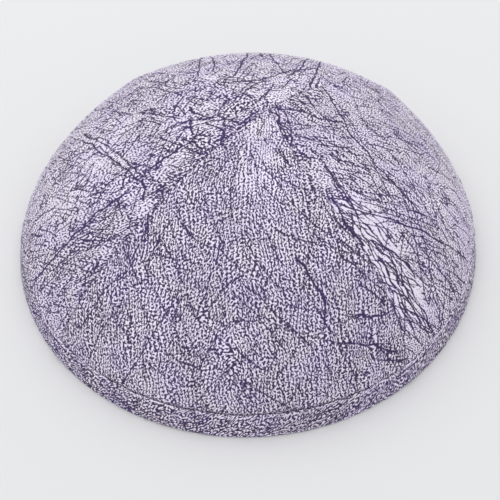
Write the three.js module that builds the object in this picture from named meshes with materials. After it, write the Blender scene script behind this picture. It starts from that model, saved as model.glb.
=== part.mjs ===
// Leather skullcap: four gores sewn edge to edge under a folded rim band, resting on its rim.
// Millimetres, +Z up, +X to the right, +Y to the back. The origin is the middle of the rim, on
// the table.
import * as THREE from 'three';

// Driving sizes of the whole cap
const rimDiameter = 175; // across the outside of the band, at the table
const crownHeight = 58.5; // from the table to the top of the gores
const crownDriftRight = 8.3; // how far the soft top has settled off the middle of the rim
const crownDriftBack = 5.1;

// Leather
const goreThickness = 1.2;
const bandThickness = 0.9;
const seamGap = 0.3; // clearance between neighbouring pieces

// Rim band: one strip, folded up outside and inside the gores' lower edge
const bandHeight = 9.4; // outer leg, above the table
const bandTurnIn = 7.5; // inner leg, above the table
const bandProud = 0.3; // how far the outer leg stands out from the dome
const bandRounding = 0.7; // rounding of the fold
const tuckRun = 3; // stretch above the band in which the gores dip in under it

// Form of the dome: its profile is a superellipse, and its level sections are slightly square
// towards the top, with the seams as their soft corners.
const profileFallPower = 1.7;
const profileHeightPower = 1.64;
const squareness = 0.6;

// The gores, in order round the cap, each with the seam on its left as seen from outside. The
// azimuth is measured from +X towards +Y. The bow and the sway are the seam's sideways curves,
// one arc and two, as shares of the dome's radius.
const gores = [
  { name: 'gore_front', seamAzimuth: -140, bow: 0.004, sway: -0.002 },
  { name: 'gore_right', seamAzimuth: -52, bow: -0.024, sway: -0.021 },
  { name: 'gore_back', seamAzimuth: 39, bow: -0.006, sway: 0.004 },
  { name: 'gore_left', seamAzimuth: 129, bow: 0.01, sway: -0.006 },
];
const goreTurn = 360 / gores.length;

// Fineness of the faceted solids
const columnsPerGore = 22;
const rowsAboveTuck = 15;
const rowsInTuck = 3;
const rowsUnderBand = 3;

// Colours of the leather, its raised grain and its creases taken together
const goreColour = 0x9a90b4;
const bandColour = 0x928aab;
const leatherRoughness = 0.55;

const domeRadius = rimDiameter / 2 - bandProud;
const tuckDepth = bandThickness + seamGap - bandProud;
const gorePointRadius = 1.5 * seamGap;
const goreFoot = bandThickness + seamGap; // height of the gores' lower edge, inside the fold
const nearZero = 1e-3;

const radians = THREE.MathUtils.degToRad;
const { lerp, clamp } = THREE.MathUtils;

// The fall is an angle along the profile: 0 at the top of the crown, 90 degrees at the table.
function fallAtHeight(height) {
  return Math.acos((height / crownHeight) ** (profileHeightPower / 2));
}

function fallAtShare(share) {
  return Math.asin(share ** (profileFallPower / 2));
}

function shareAtFall(fall) {
  return Math.sin(fall) ** (2 / profileFallPower);
}

function heightAtFall(fall) {
  return crownHeight * Math.max(Math.cos(fall), 0) ** (2 / profileHeightPower);
}

// Azimuth of the seam on a gore's left at a share of the dome's radius. The seam after the last
// gore is the first one, a whole turn on.
function seamAzimuth(gore, share) {
  const { seamAzimuth: straight, bow, sway } = gores[gore % gores.length];
  const sideways = bow * Math.sin(Math.PI * share) + sway * Math.sin(2 * Math.PI * share);
  const wholeTurn = gore < gores.length ? 0 : 2 * Math.PI;
  return radians(straight) + wholeTurn + sideways / share;
}

// How far a level section of a square with unit corners lies inside its corners' circle.
function squareInset(across) {
  const fromSeam = radians(goreTurn * Math.min(across, 1 - across));
  const half = radians(goreTurn / 2);
  return 1 - Math.cos(half) / Math.cos(half - fromSeam);
}

const averageInset = 0.12; // keeps the section's mean radius as it gets squarer

// Azimuth of a point of a gore. across runs from 0 at the gore's first seam to 1 at its second.
// edgeGap keeps a piece clear of the seam on both of its sides.
function goreAzimuth(gore, across, share, edgeGap) {
  const clear = Math.asin(clamp(edgeGap / (domeRadius * share), 0, 1));
  return lerp(seamAzimuth(gore, share) + clear, seamAzimuth(gore + 1, share) - clear, across);
}

// Outward normal of the dome as if its sections were round, so that neighbouring gores turn
// their thickness the same way at a seam.
function roundNormal(azimuth, fall) {
  const steep = Math.min(fall, Math.PI / 2 - nearZero);
  const shareRate = shareAtFall(steep) / Math.tan(steep) * (2 / profileFallPower);
  const heightRate = heightAtFall(steep) * Math.tan(steep) * (2 / profileHeightPower);
  const drift = crownDriftRight * Math.cos(azimuth) + crownDriftBack * Math.sin(azimuth);
  return new THREE.Vector3(
    heightRate * Math.cos(azimuth),
    heightRate * Math.sin(azimuth),
    shareRate * (domeRadius - drift),
  ).normalize();
}

// A point of the leather: across and fall place it on the dome's outer face, and distance moves
// it outside (positive) or inside (negative) along the normal.
function leatherPoint(gore, across, fall, distance, edgeGap = 0) {
  const share = shareAtFall(fall);
  const azimuth = goreAzimuth(gore, across, share, edgeGap);
  const section = 1 - squareness * (1 - share) * (squareInset(across) - averageInset);
  const radius = domeRadius * share * section;
  const point = new THREE.Vector3(
    crownDriftRight * (1 - share) + radius * Math.cos(azimuth),
    crownDriftBack * (1 - share) + radius * Math.sin(azimuth),
    heightAtFall(fall),
  );
  return point.addScaledVector(roundNormal(azimuth, fall), distance);
}

// How deep the gores have dipped in at a height, to pass under the band's outer leg.
function tuckAtHeight(height) {
  const above = clamp((height - bandHeight) / tuckRun, 0, 1);
  return tuckDepth * (1 - above * above * (3 - 2 * above));
}

// Falls of the rows of a gore, from its point down to its lower edge inside the fold.
function goreRows() {
  const top = fallAtShare(gorePointRadius / domeRadius);
  const tuckTop = fallAtHeight(bandHeight + tuckRun);
  const tuckEnd = fallAtHeight(bandHeight);
  const bottom = fallAtHeight(goreFoot);
  const stretches = [
    { from: top, to: tuckTop, rows: rowsAboveTuck },
    { from: tuckTop, to: tuckEnd, rows: rowsInTuck },
    { from: tuckEnd, to: bottom, rows: rowsUnderBand },
  ];
  const falls = [top];
  for (const { from, to, rows } of stretches) {
    for (let row = 1; row <= rows; row += 1) falls.push(lerp(from, to, row / rows));
  }
  return falls;
}

function closedMesh(name, colour, points, triangles) {
  const geometry = new THREE.BufferGeometry().setFromPoints(points);
  geometry.setIndex(triangles);
  geometry.computeVertexNormals();
  const material = new THREE.MeshStandardMaterial({
    color: colour,
    roughness: leatherRoughness,
    metalness: 0,
  });
  const mesh = new THREE.Mesh(geometry, material);
  mesh.name = name;
  return mesh;
}

// One gore: a curved triangle of leather with an outer and an inner face, closed all round.
function goreMesh(gore) {
  const falls = goreRows();
  const columns = columnsPerGore + 1;
  const points = [];
  for (const depth of [0, goreThickness]) {
    for (const fall of falls) {
      const inset = tuckAtHeight(heightAtFall(fall)) + depth;
      for (let column = 0; column < columns; column += 1) {
        const across = column / columnsPerGore;
        points.push(leatherPoint(gore, across, fall, -inset, seamGap / 2));
      }
    }
  }
  const innerFace = falls.length * columns;
  const lastRow = falls.length - 1;
  const triangles = [];
  const addQuad = (a, b, c, d) => triangles.push(a, b, c, a, c, d);
  const at = (row, column) => row * columns + column;
  for (let row = 0; row < lastRow; row += 1) {
    for (let column = 0; column < columnsPerGore; column += 1) {
      const a = at(row, column);
      const b = at(row + 1, column);
      const c = at(row + 1, column + 1);
      const d = at(row, column + 1);
      addQuad(a, b, c, d);
      addQuad(innerFace + d, innerFace + c, innerFace + b, innerFace + a);
    }
  }
  const addEdge = (a, b) => addQuad(a, b, innerFace + b, innerFace + a);
  for (let row = 0; row < lastRow; row += 1) {
    addEdge(at(row + 1, 0), at(row, 0));
    addEdge(at(row, columnsPerGore), at(row + 1, columnsPerGore));
  }
  for (let column = 0; column < columnsPerGore; column += 1) {
    addEdge(at(0, column), at(0, column + 1));
    addEdge(at(lastRow, column + 1), at(lastRow, column));
  }
  return closedMesh(gores[gore].name, goreColour, points, triangles);
}

// One face of a leg of the band, from one height to another, following the curve of the dome.
function legFace(out, from, to) {
  const face = [];
  for (let row = 0; row <= rowsUnderBand; row += 1) {
    const fall = lerp(fallAtHeight(from), fallAtHeight(to), row / rowsUnderBand);
    face.push({ height: heightAtFall(fall), out });
  }
  return face;
}

// Section of the band as a closed loop: height above the table, and distance out from the dome.
function bandSection() {
  const outside = bandProud;
  const outerLegBack = outside - bandThickness;
  const innerLegFront = outerLegBack - seamGap - goreThickness - seamGap;
  const inside = innerLegFront - bandThickness;
  const topRounding = bandThickness / 3;
  const foldMiddle = bandRounding * (1 - Math.SQRT1_2);
  return [
    { height: 0, out: outside - bandRounding },
    { height: foldMiddle, out: outside - foldMiddle },
    ...legFace(outside, bandRounding, bandHeight - topRounding),
    { height: bandHeight, out: outside - topRounding },
    ...legFace(outerLegBack, bandHeight, goreFoot),
    { height: bandThickness, out: outerLegBack },
    { height: bandThickness, out: innerLegFront },
    ...legFace(innerLegFront, goreFoot, bandTurnIn),
    ...legFace(inside, bandTurnIn, bandRounding),
    { height: 0, out: inside + bandRounding },
  ];
}

// The rim band: its section carried once round the cap, along the foot of the four gores.
function bandMesh() {
  const section = bandSection();
  const points = [];
  for (let gore = 0; gore < gores.length; gore += 1) {
    for (let column = 0; column < columnsPerGore; column += 1) {
      const across = column / columnsPerGore;
      for (const { height, out } of section) {
        const point = leatherPoint(gore, across, fallAtHeight(height), out);
        if (height === 0) point.z = 0;
        points.push(point);
      }
    }
  }
  const steps = gores.length * columnsPerGore;
  const triangles = [];
  for (let step = 0; step < steps; step += 1) {
    const here = step * section.length;
    const there = ((step + 1) % steps) * section.length;
    for (let side = 0; side < section.length; side += 1) {
      const next = (side + 1) % section.length;
      triangles.push(here + side, there + side, there + next);
      triangles.push(here + side, there + next, here + next);
    }
  }
  return closedMesh('rim_band', bandColour, points, triangles);
}

const skullcap = new THREE.Group();
for (let gore = 0; gore < gores.length; gore += 1) skullcap.add(goreMesh(gore));
skullcap.add(bandMesh());

export default skullcap;
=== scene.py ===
"""Leather skullcap, dressed over its CAD frame.

Four gores of two-tone antiqued leather and a folded rim band of the same leather replace the
plain CAD solids. Metres, +Z up, +X to the right, +Y to the back, the origin in the middle of the
rim on the table. Flat places on the leather are in millimetres.
"""

from math import cos, pi, radians, sin

import bpy
import numpy as np
from mathutils import Matrix, Vector


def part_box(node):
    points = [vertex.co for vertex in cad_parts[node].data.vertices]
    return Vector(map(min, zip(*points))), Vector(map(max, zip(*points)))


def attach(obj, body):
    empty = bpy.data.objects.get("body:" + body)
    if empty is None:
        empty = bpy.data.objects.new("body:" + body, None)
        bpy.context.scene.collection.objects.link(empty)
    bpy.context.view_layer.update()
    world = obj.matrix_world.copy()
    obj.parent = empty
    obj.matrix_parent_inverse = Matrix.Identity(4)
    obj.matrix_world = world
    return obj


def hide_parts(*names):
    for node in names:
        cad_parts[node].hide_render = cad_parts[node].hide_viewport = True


bl_info = {
    "name": "Leather Skullcap",
    "version": (1, 0, 0),
    "blender": (4, 5, 0),
    "location": "3D View > Sidebar > Skullcap",
    "description": "Makes a four-gore leather skullcap over its CAD frame, with its stage",
    "category": "Add Mesh",
}

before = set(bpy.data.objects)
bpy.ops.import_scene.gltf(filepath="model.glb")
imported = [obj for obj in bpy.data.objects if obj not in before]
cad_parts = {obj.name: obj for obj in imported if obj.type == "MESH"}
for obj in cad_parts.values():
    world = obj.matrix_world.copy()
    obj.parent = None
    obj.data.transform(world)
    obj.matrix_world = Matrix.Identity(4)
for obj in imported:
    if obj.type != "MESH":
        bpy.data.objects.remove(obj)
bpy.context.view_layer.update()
rim_low, rim_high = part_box("rim_band")

MM = 0.001

# Form of the dome, as in the part's source: its profile is a superellipse, and its level
# sections are slightly square towards the top, with the seams as their soft corners.
PROFILE_FALL_POWER = 1.7
PROFILE_HEIGHT_POWER = 1.64
SQUARENESS = 0.6
AVERAGE_INSET = 0.12
QUARTER = pi / 2

# The gores in order round the cap, each with the seam on its left as seen from outside: azimuth
# from +X towards +Y in degrees, and the seam's sideways bow and sway as shares of the radius.
SEAMS = [
    ("gore_front", -140, 0.004, -0.002),
    ("gore_right", -52, -0.024, -0.021),
    ("gore_back", 39, -0.006, 0.004),
    ("gore_left", 129, 0.01, -0.006),
]
CROWN_TOP = max(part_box(name)[1].z for name, *_ in SEAMS)

# How each piece was cut from the hide. Lengths are in millimetres.
#   grain: spacing of the raised grain across its run, long: its stretch along the run
#   lean: sideways run of the grain for each millimetre down the gore
#   rows: how far the grain falls in rows
#   dye: how much of the grain's height the dark dye fills, 0 is half
#   folds: sets of long fine creases, each with its spacing, its stretch, its turn from straight
#   down the gore in degrees, its width and its darkness
HIDES = {
    "gore_front": dict(seed=11, grain=0.65, long=1.7, lean=-0.16, rows=0.42, dye=0.0, folds=[
        (2.2, 3, -24, 0.32, 0.85), (6, 8, -42, 0.31, 0.9), (10, 5, 20, 0.32, 0.9),
        (12, 6, -62, 0.31, 0.9)]),
    "gore_right": dict(seed=23, grain=0.76, long=1.4, lean=-0.25, rows=0.0, dye=-0.17, folds=[
        (2.6, 7, 16, 0.36, 0.95), (3.8, 8, -14, 0.36, 0.95), (7, 8, 50, 0.36, 0.95)]),
    "gore_back": dict(seed=37, grain=0.9, long=1.5, lean=0.15, rows=0.2, dye=-0.2, folds=[
        (2.6, 5, 75, 0.38, 0.95), (4, 7, 25, 0.38, 0.95), (5, 6, -40, 0.38, 0.95)]),
    "gore_left": dict(seed=41, grain=0.9, long=1.5, lean=0.3, rows=0.0, dye=-0.18, folds=[
        (2.8, 5, 38, 0.38, 0.95), (3.6, 5, -12, 0.38, 0.95), (4.5, 5, -62, 0.38, 0.95)]),
    "rim_band": dict(seed=53, grain=0.85, long=1.6, lean=-0.6, rows=0.0, dye=0.13, folds=[
        (2.4, 4, -58, 0.38, 0.95), (5, 6, 90, 0.38, 0.9)]),
}

# The grain of some hides lies in loose rows down the gore, this far apart.
ROW_SPACING = 1.38

# Creases that were followed on the photograph, in its pixels, each with its width in
# millimetres and its darkness. A point is placed on the leather that is seen there.
CREASES = {
    "gore_right": [
        (1.1, 1.0, [(321, 86), (327, 93), (334, 105), (341, 117), (347, 127), (350, 136), (360, 145),
            (370, 155), (380, 168), (392, 180), (400, 190), (410, 199), (417, 207), (421, 215)]),
        (0.7, 0.9, [(421, 215), (424, 226), (427, 233)]),
        (0.6, 0.8, [(421, 215), (432, 221), (440, 229), (446, 235), (450, 246), (453, 258),
            (455, 270)]),
        (0.7, 0.9, [(343, 83), (354, 100), (358, 110), (365, 125), (372, 132), (380, 134)]),
        (0.6, 0.7, [(355, 99), (366, 106), (375, 115), (380, 119)]),
        (0.9, 1.0, [(280, 109), (292, 110), (304, 112), (316, 117), (330, 120), (340, 121)]),
        (0.9, 1.0, [(306, 96), (309, 102), (318, 112), (330, 122), (334, 130), (334, 138)]),
        (0.6, 0.9, [(273, 106), (279, 115), (282, 126), (286, 137), (289, 146), (291, 150)]),
        (0.8, 1.0, [(295, 155), (303, 155), (312, 158), (320, 162), (328, 172), (336, 180), (343, 190),
            (350, 200)]),
        (0.8, 0.9, [(280, 120), (287, 128), (294, 134), (305, 138), (316, 141)]),
        (0.7, 0.9, [(322, 168), (332, 178), (340, 190), (345, 198), (352, 206)]),
        (0.7, 0.9, [(330, 172), (340, 182), (348, 193), (356, 202), (362, 207)]),
        (1.0, 1.0, [(333, 197), (345, 206), (358, 209), (372, 213), (388, 219), (402, 224), (418, 230),
            (433, 237), (447, 244), (458, 252), (468, 262)]),
        (0.8, 1.0, [(340, 204), (342, 214), (343, 222), (350, 230), (358, 238), (363, 246)]),
        (0.8, 1.0, [(350, 198), (356, 210), (360, 221), (361, 232), (366, 241), (371, 252), (378, 265),
            (388, 280), (392, 292), (395, 305), (398, 316), (401, 330)]),
        (0.7, 0.9, [(362, 210), (370, 219), (376, 228), (384, 238), (391, 246)]),
        (0.7, 0.9, [(372, 213), (380, 224), (389, 236), (392, 243), (399, 243), (403, 238)]),
        (0.9, 1.0, [(372, 243), (381, 251), (389, 257), (393, 263), (396, 272), (400, 285), (404, 295),
            (411, 303), (416, 312), (420, 324)]),
        (0.8, 1.0, [(362, 226), (369, 234), (380, 243), (392, 250), (401, 258), (410, 264),
            (414, 278)]),
        (0.7, 0.9, [(401, 258), (412, 260), (421, 264), (430, 272), (436, 280), (443, 283)]),
        (0.8, 0.9, [(400, 232), (410, 242), (417, 254), (421, 262), (431, 274), (435, 290), (439, 305),
            (439, 320), (436, 336)]),
        (0.7, 0.9, [(406, 228), (415, 240), (425, 252), (436, 261), (441, 272), (450, 281), (455, 292),
            (457, 303)]),
        (0.9, 1.0, [(380, 256), (386, 268), (393, 281), (400, 291), (412, 303), (417, 315), (424, 328),
            (431, 338)]),
        (0.8, 0.9, [(386, 262), (395, 272), (404, 285), (411, 296), (421, 306), (428, 322),
            (433, 333)]),
        (0.9, 0.9, [(398, 317), (408, 320), (418, 325), (428, 331), (435, 338)]),
        (0.6, 0.9, [(343, 218), (352, 230), (360, 244), (364, 252), (370, 262), (378, 272), (386, 284),
            (392, 294)]),
        (0.7, 1.0, [(341, 208), (350, 216), (360, 230), (366, 240), (374, 250), (380, 258), (388, 270),
            (392, 280), (400, 294), (404, 306), (412, 320)]),
        (0.7, 1.0, [(354, 208), (362, 220), (370, 230), (380, 240), (388, 250), (398, 262), (404, 274),
            (412, 290), (420, 306), (428, 320)]),
        (0.7, 1.0, [(366, 240), (380, 244), (390, 250), (402, 258), (412, 270), (424, 282), (434, 294),
            (438, 310)]),
        (0.7, 1.0, [(388, 252), (396, 266), (402, 278), (408, 294), (416, 308), (424, 320)]),
        (0.7, 1.0, [(394, 290), (400, 302), (406, 316), (412, 328), (418, 340)]),
        (0.6, 0.8, [(437, 262), (447, 270), (455, 277), (466, 284)]),
        (0.6, 0.8, [(424, 300), (437, 303), (447, 310), (456, 316)]),
        (0.7, 0.8, [(400, 318), (405, 330), (410, 338)]),
        (0.6, 0.8, [(440, 162), (438, 170), (433, 178), (428, 188)]),
        (0.5, 0.7, [(402, 120), (410, 130), (418, 140), (425, 150)]),
        (0.6, 0.7, [(383, 143), (392, 149), (402, 153)]),
        (0.6, 0.8, [(319, 130), (332, 134), (345, 137), (352, 139)]),
        (0.6, 0.7, [(355, 155), (370, 158), (385, 159), (402, 160)]),
        (0.7, 0.8, [(320, 150), (335, 158), (350, 163), (362, 172)]),
    ],
    "gore_front": [
        (0.8, 0.9, [(180, 222), (188, 231), (196, 238), (206, 242), (220, 251), (231, 262)]),
        (0.7, 0.9, [(146, 222), (144, 238), (143, 258)]),
        (0.7, 1.0, [(148, 213), (148, 222), (147, 240), (147, 256)]),
        (0.6, 0.9, [(154, 205), (153, 222)]),
        (0.8, 0.9, [(125, 237), (128, 248), (131, 260), (133, 270), (141, 287)]),
        (0.8, 0.8, [(150, 252), (160, 256), (172, 258), (180, 261)]),
        (0.8, 0.8, [(180, 252), (190, 260), (200, 268)]),
        (0.7, 0.8, [(110, 316), (122, 302)]),
        (0.9, 0.9, [(169, 353), (179, 361), (196, 368)]),
        (1.3, 1.0, [(295, 257), (305, 264), (315, 282), (322, 293), (325, 310), (326, 324)]),
        (0.8, 0.9, [(339, 240), (340, 255), (338, 270), (338, 278)]),
        (0.8, 0.9, [(352, 315), (362, 316), (375, 316), (390, 313)]),
        (1.1, 0.9, [(348, 340), (362, 345), (374, 347), (397, 352)]),
        (0.9, 0.9, [(378, 360), (395, 361), (407, 360)]),
        (0.8, 0.9, [(340, 240), (348, 243), (355, 250)]),
        (0.8, 0.9, [(358, 283), (368, 288), (376, 298), (385, 302)]),
        (0.8, 0.8, [(245, 148), (252, 155), (257, 165), (257, 175)]),
        (0.7, 0.8, [(262, 186), (270, 193), (280, 200), (290, 205)]),
        (0.9, 0.9, [(282, 150), (285, 160), (290, 168)]),
        (0.7, 0.8, [(205, 156), (212, 159), (225, 163)]),
    ],
    "gore_left": [
        (0.9, 1.0, [(83, 134), (100, 143), (112, 150), (121, 156), (133, 167), (146, 179), (156, 186),
            (163, 193)]),
        (0.9, 1.0, [(81, 141), (95, 148), (110, 158), (124, 167), (135, 177), (146, 188)]),
        (1.1, 1.0, [(147, 171), (157, 163), (167, 156), (177, 149), (190, 141), (198, 135),
            (205, 129)]),
        (1.0, 1.0, [(160, 138), (170, 142), (182, 144), (190, 150), (200, 154)]),
        (1.1, 1.0, [(183, 139), (194, 141), (201, 150)]),
        (1.2, 1.0, [(126, 193), (116, 200), (105, 208), (95, 214), (86, 224), (76, 232), (68, 242),
            (58, 254), (48, 264), (41, 272), (32, 287)]),
        (0.9, 0.9, [(100, 213), (92, 222), (83, 228)]),
        (0.9, 0.9, [(117, 200), (120, 210), (123, 216)]),
        (0.7, 0.8, [(80, 165), (82, 174), (88, 181), (96, 187), (101, 193)]),
        (0.8, 1.0, [(110, 112), (125, 113), (135, 114), (150, 113), (165, 117), (178, 119)]),
        (1.0, 1.0, [(165, 131), (172, 126), (186, 121), (200, 119), (215, 117)]),
        (1.0, 1.0, [(189, 121), (190, 128), (192, 134)]),
        (1.0, 1.0, [(190, 108), (194, 113), (203, 116), (212, 118)]),
        (1.0, 1.0, [(172, 112), (176, 104), (182, 98), (190, 91), (198, 87)]),
        (0.9, 0.9, [(208, 102), (216, 98), (224, 96)]),
        (1.0, 1.0, [(222, 104), (226, 100), (234, 98), (239, 96)]),
        (1.1, 1.0, [(216, 117), (220, 108), (226, 102)]),
        (1.0, 0.9, [(232, 108), (235, 115)]),
        (1.1, 1.0, [(207, 122), (217, 127), (226, 131), (227, 138), (218, 141)]),
        (1.3, 0.9, [(258, 112), (252, 116), (245, 120), (240, 125)]),
        (0.5, 0.7, [(42, 218), (48, 213), (58, 204), (66, 195), (75, 188)]),
        (1.4, 1.0, [(143, 180), (143, 190), (144, 200)]),
        (0.7, 0.8, [(63, 208), (75, 207), (85, 205)]),
        (0.7, 0.8, [(24, 262), (36, 258), (48, 253)]),
        (0.9, 0.9, [(80, 240), (95, 240), (108, 240), (118, 236)]),
        (0.8, 0.9, [(70, 253), (85, 250), (98, 246)]),
        (0.9, 1.0, [(147, 172), (152, 178), (160, 183), (165, 190)]),
    ],
    "gore_back": [
        (1.1, 1.0, [(241, 94), (244, 92), (256, 84), (266, 80)]),
        (1.1, 1.0, [(260, 100), (266, 93), (271, 87), (272, 84)]),
        (1.2, 1.0, [(265, 53), (262, 59), (258, 65)]),
        (1.2, 1.0, [(324, 65), (316, 73), (312, 80), (309, 88)]),
        (1.3, 1.0, [(220, 77), (240, 77), (260, 76), (280, 76), (300, 75), (316, 74)]),
        (1.3, 1.0, [(222, 82), (240, 82), (256, 80), (272, 77), (288, 72), (304, 69), (316, 68)]),
        (1.0, 0.9, [(190, 60), (192, 64)]),
        (1.1, 0.9, [(197, 77), (208, 77), (216, 73)]),
        (1.0, 0.9, [(299, 91), (294, 88), (290, 86)]),
    ],
}

# Patches along a line that was followed on the photograph in the same way, where the dye
# is raised, or lowered where the amount is negative: half width in millimetres, amount, and
# pixels. Some are stains and pale marks of the leather; those marked below are painted light.
STAINS_AND_PAINTED_LIGHT = {
    # The first patch is painted light: the upper front gore made paler where it faces the light
    # overhead.
    "gore_front": [(10, -0.2, [(262, 130), (255, 170)]), (5, 0.15, [(350, 344), (400, 352)])],
    "gore_right": [(8, 0.05, [(294, 125), (312, 160), (330, 190)]),
                   (9, -0.8, [(356, 210), (384, 248), (403, 284), (411, 314)]),
                   (1.8, -0.4, [(349, 213), (356, 222)]),
                   (2.0, -0.4, [(366, 249), (378, 263)]),
                   (1.8, -0.4, [(387, 275), (397, 288)])],
    # The first patch is painted sheen: the upper left of the gore, seen at a grazing angle, made
    # paler.
    "gore_left": [(12, -0.3, [(112, 128), (90, 160), (60, 215)]),
                  (1.0, -0.35, [(84, 138), (98, 145), (111, 154), (122, 161), (134, 172),
                                (150, 185)]),
                  (9, -0.15, [(170, 125), (205, 112)]),
                  # These three make the gore darker along its seam with the front gore.
                  (5, 0.25, [(262, 113), (233, 133), (189, 166), (165, 195)]),
                  (4, 0.2, [(138, 176), (152, 184), (165, 195)]),
                  (7, 0.14, [(118, 212), (92, 245), (62, 280)]),
                  (5, 0.3, [(228, 106), (246, 106)])],
    # The first patch is painted sheen: the far top of the back gore, seen at a grazing angle, made
    # paler.
    "gore_back": [(11, -0.1, [(215, 80), (265, 90), (300, 84)]),
                  (1.2, -0.35, [(205, 79), (229, 78), (264, 77), (290, 75)])],
}

# Nets of close creases along a line that was followed in the same way: half width of the net in
# millimetres, one set of creases as in the hides, and pixels.
NETS = {
    "gore_right": [(13, (1.9, 7, 9, 0.33, 1.0), [(354, 205), (382, 245), (400, 280), (417, 325)])],
}

# Flat leather is laid out on one repeating tile of noise, finer than the cap's mesh. The band
# goes round on four of them side by side, a little way down from their top.
TILE_SIDE = 144.0
TILE_CELLS = 640
BAND_TILES = 4
BAND_START = 20

# Noise: how fast the bell of soft noise falls, and how wide the bell of the grain is.
SOFT_FALL = 1.2
GRAIN_SPREAD = 0.6

# The grain's sideways wander and that of the fine creases in millimetres, how uneven its height
# is, and the fall in its height over which the dye goes from none to full, in deviations.
GRAIN_WANDER = 0.7
FOLD_WANDER = 0.25
WORN_SHARE = 0.1
DYE_DEPTH = 2.4

# Fine creases: how far they reach as a share of their width, the least slope of the noise that
# draws them, and the noise that fades them in and out: its wavelength as a share of their
# spacing, its stretch, and its levels for none and for all of a crease.
LINE_REACH = 1.2
LEAST_SLOPE = 0.25
FADE_SPACING = 1.2
FADE_STRETCH = 2
FADE_FROM, FADE_TO = -1.5, 0.1

# Followed lines: the wander of a crease and the distance within which it is looked for, in
# millimetres, its reach to either side as a share of its width and how uneven that is, the
# share of that wander that a net has, and the share of a run's half width that is full.
LINE_WANDER = 0.3
CREASE_REACH = 3
HALF_SHARE = 0.56
HALF_UNEVEN = 0.1
NET_WANDER = 0.3
RUN_CORE = 0.35

# Seeds of the creases count from their hide's seed plus these.
FOLD_SEED = 100
NET_SEED = 200

# Shades: dye in the seams and its reach in millimetres, what is left of the dye on the band's
# lip, the band's tone, how much soft patches change the tone, and the levels of the noise that
# blends one pair of colours into the other.
SEAM_DYE = 0.45
SEAM_DYE_SPAN = (0.1, 0.5)
LIP_DYE = 0.8
GORE_SHADING = 0.03
BAND_TONE = 0.97
BAND_SHADING = 0.05
MAUVE_SPAN = (-1.2, 1.8)

# Relief of the gores in millimetres: the gap left at each seam and at the crown, the rise over
# the allowances, their step inside, the depth of the puckers, and the width of the groove over
# the band, with what some gores add to it in their middle. The roll's depth is a share of its
# width, and the grain's relief starts and ends at two levels of its dye.
SEAM_CLEARANCE = 0.01
CROWN_CLEARANCE = 0.05
ALLOWANCE_RISE = 0.1
ALLOWANCE_STEP = 0.55
PUCKER_DEPTH = 0.1
GROOVE_WIDTH = 0.4
GROOVE_ADDED = {"gore_front": 0.9}
INNER_GROOVE_WIDTH = 2.2
ROLL_DEPTH = 0.55
RELIEF_SPAN = (0.3, 0.7)

# Spans in millimetres over which that relief comes in or goes: round an allowance's edge outside
# and inside, and inside close to the seam; down from the crown outside and inside; up from the
# band for the allowances, and for the end and the start of the puckers; and away from the seams
# for the wider groove.
ALLOWANCE_FADE = (-2, 1)
ALLOWANCE_EDGE = 0.7
SEAM_SPAN = (0, 0.8)
CROWN_SPAN = (2, 12)
INNER_CROWN_SPAN = (4, 10)
ALLOWANCE_FOOT_SPAN = (2, 4)
PUCKER_SPAN = (1, 9)
PUCKER_START_SPAN = (-1, 1)
GROOVE_SPAN = (8, 45)

# Relief of the band in millimetres: how far its leg is pressed in and up to which height that
# comes in, its unevenness, its rise over the seams and how wide that is, and the wander of its
# top edge with the share of the height where that starts. The roundings are shares of its
# thickness.
BAND_PRESS = 0.2
PRESS_SPAN = (0, 2.5)
BAND_UNEVEN = 0.1
SEAM_RISE = 0.25
SEAM_RISE_SPAN = (2.5, 6)
TOP_EDGE_WANDER = 0.12
TOP_EDGE_SPAN = (0.4, 1)
FOLD_ROUNDING = 0.8
LIP_ROUNDING = 0.5

# Sizes of the patterns in the materials, in millimetres.
FLECK_SIZE = 0.7
NAP_SIZE = 0.5
MOTTLE_SIZE = 12

# The profile is measured in this many steps, from just beside the crown. Its normals stay just
# short of level at the table.
PROFILE_STEPS = 4000
CROWN_FALL = 1e-4
FOOT_FALL = QUARTER - 1e-3

# Outer rings of a gore, of which the last few lie under the band, and its inner rings.
OUTER_RINGS = 288
RINGS_UNDER_BAND = 8
INNER_RINGS = 96

# Columns round the band, and the rows of its section: round a fold, over a lip, and on its
# outer leg, its two hidden faces and its inside.
BAND_COLUMNS = 1600
FOLD_ROWS = 7
LIP_ROWS = 9
LEG_ROWS = 27
HIDDEN_ROWS = 4
INSIDE_ROWS = 6

# Pinhole camera of the photograph: its pixels across the sensor in millimetres, and its focal
# length in pixels. It is aimed a little below and beside the middle of the rim, and rolled
# slightly. Angles are in degrees and the distance is in metres.
PHOTO_SIDE = 500
SENSOR_WIDTH = 36.0
FOCAL_PIXELS = 850.0
CAMERA_HEIGHT_ANGLE = 51.41
CAMERA_DISTANCE = 0.33056
CAMERA_PITCH = 1.43
CAMERA_YAW = 0.22
CAMERA_ROLL = 1.25

# Stage, in metres: the floor's half side and its level, and the soft light over the table.
FLOOR_REACH = 6.0
FLOOR_LEVEL = -0.05 * MM
ROOM_COLOUR = (0.96, 0.97, 1.0, 1)
LIGHT_SIZE = (1.8, 1.4)
LIGHT_PLACE = (-0.12, 0.4, 1.2)
LIGHT_AIM = (0, 0, 0.03)


def linear(hex_colour):
    """Linear red, green and blue of an sRGB hex colour."""
    parts = [int(hex_colour[i:i + 2], 16) / 255 for i in (0, 2, 4)]
    return tuple(p / 12.92 if p <= 0.04045 else ((p + 0.055) / 1.055) ** 2.4 for p in parts)


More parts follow.
